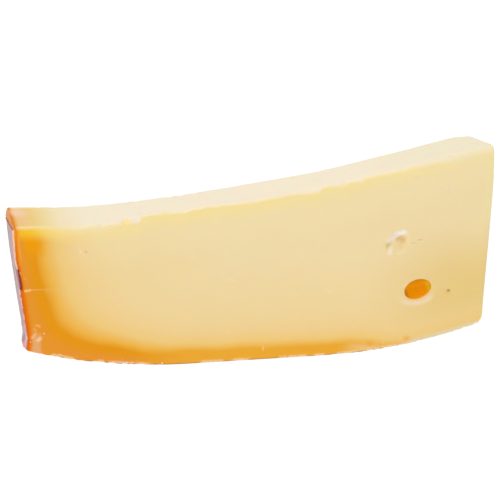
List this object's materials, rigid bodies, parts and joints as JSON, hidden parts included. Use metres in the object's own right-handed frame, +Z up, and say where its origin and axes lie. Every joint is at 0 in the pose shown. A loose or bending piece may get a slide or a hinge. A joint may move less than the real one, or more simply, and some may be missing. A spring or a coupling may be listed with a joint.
{
  "type": "cheese wedge",
  "caption": "Slab of semi-hard cheese with a concave cut top, a rounded rind underneath, shallow and deep eyes in its faces, and a thin paper label on its rind end.",
  "frame": {"origin": "on the surface that the wedge rests on, under the middle of its bounding box", "axes": "+X along the wedge from the rind end to the tip end, +Y from the front cut face to the back one, +Z up"},
  "size_m": [0.2076, 0.0396, 0.0885],
  "materials": {
    "cheese": "moist cut cheese paste, pale cream yellow, deepening to orange under the rind",
    "label": "thin coated paper, glossy crimson, with a white cut edge"
  },
  "bodies": {
    "root": {"cheese": "cheese", "label": "label"}
  },
  "joints": []
}
